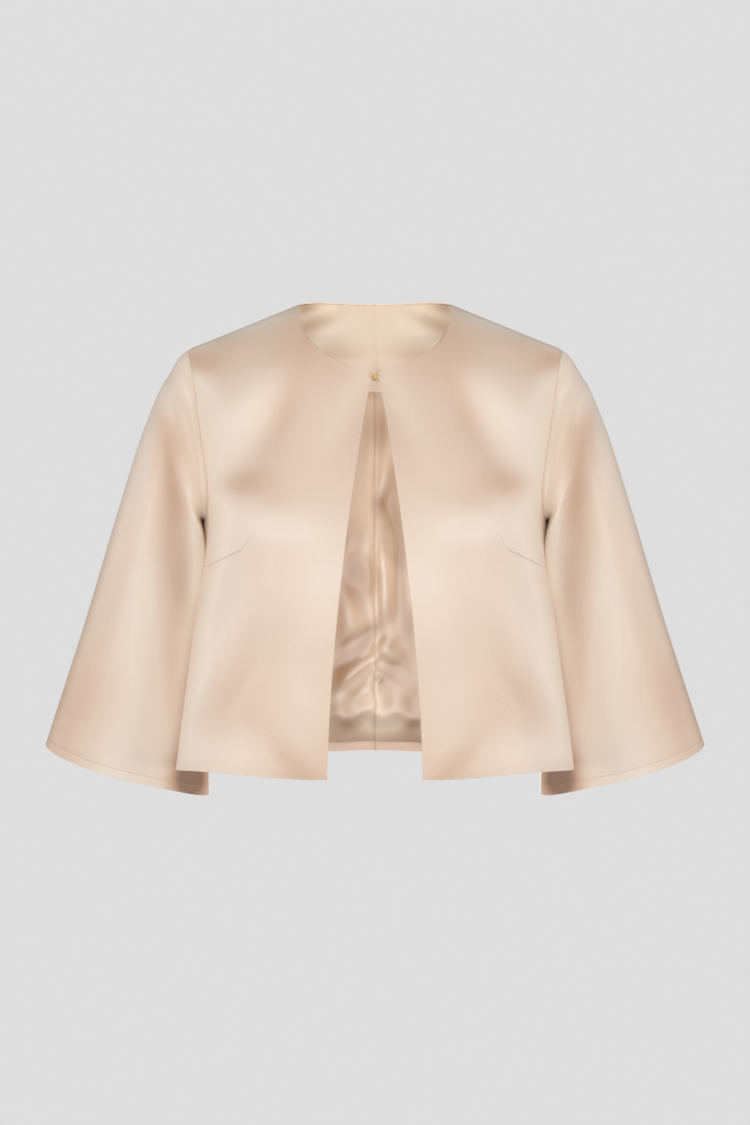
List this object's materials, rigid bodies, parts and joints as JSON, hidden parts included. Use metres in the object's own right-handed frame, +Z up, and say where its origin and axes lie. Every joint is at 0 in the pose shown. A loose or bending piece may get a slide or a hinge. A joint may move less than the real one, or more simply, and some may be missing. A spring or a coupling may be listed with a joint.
{
  "type": "bolero jacket",
  "caption": "Cropped collarless satin bolero jacket with flared three-quarter sleeves, bust darts, lining and a hook and eye at the front neck.",
  "frame": {"origin": "midway between the two points where the shoulder seams meet the neck, where the wearer's shoulders carry the jacket", "axes": "+Z up, -Y out of the jacket's front, +X to the wearer's left"},
  "size_m": [0.7136, 0.2618, 0.5251],
  "materials": {
    "satin": "champagne duchess satin with a soft sheen",
    "lining": "light polyester lining, a shade darker than the satin, with a smooth gloss",
    "gilt_wire": "polished gilt"
  },
  "bodies": {
    "root": {"front_left": "satin", "front_right": "satin", "back_left": "satin", "back_right": "satin", "sleeve_left": "satin", "sleeve_right": "satin", "back_neck_facing": "satin", "back_lining_left": "lining", "back_lining_right": "lining", "hook": "gilt_wire", "eye": "gilt_wire"}
  },
  "joints": []
}
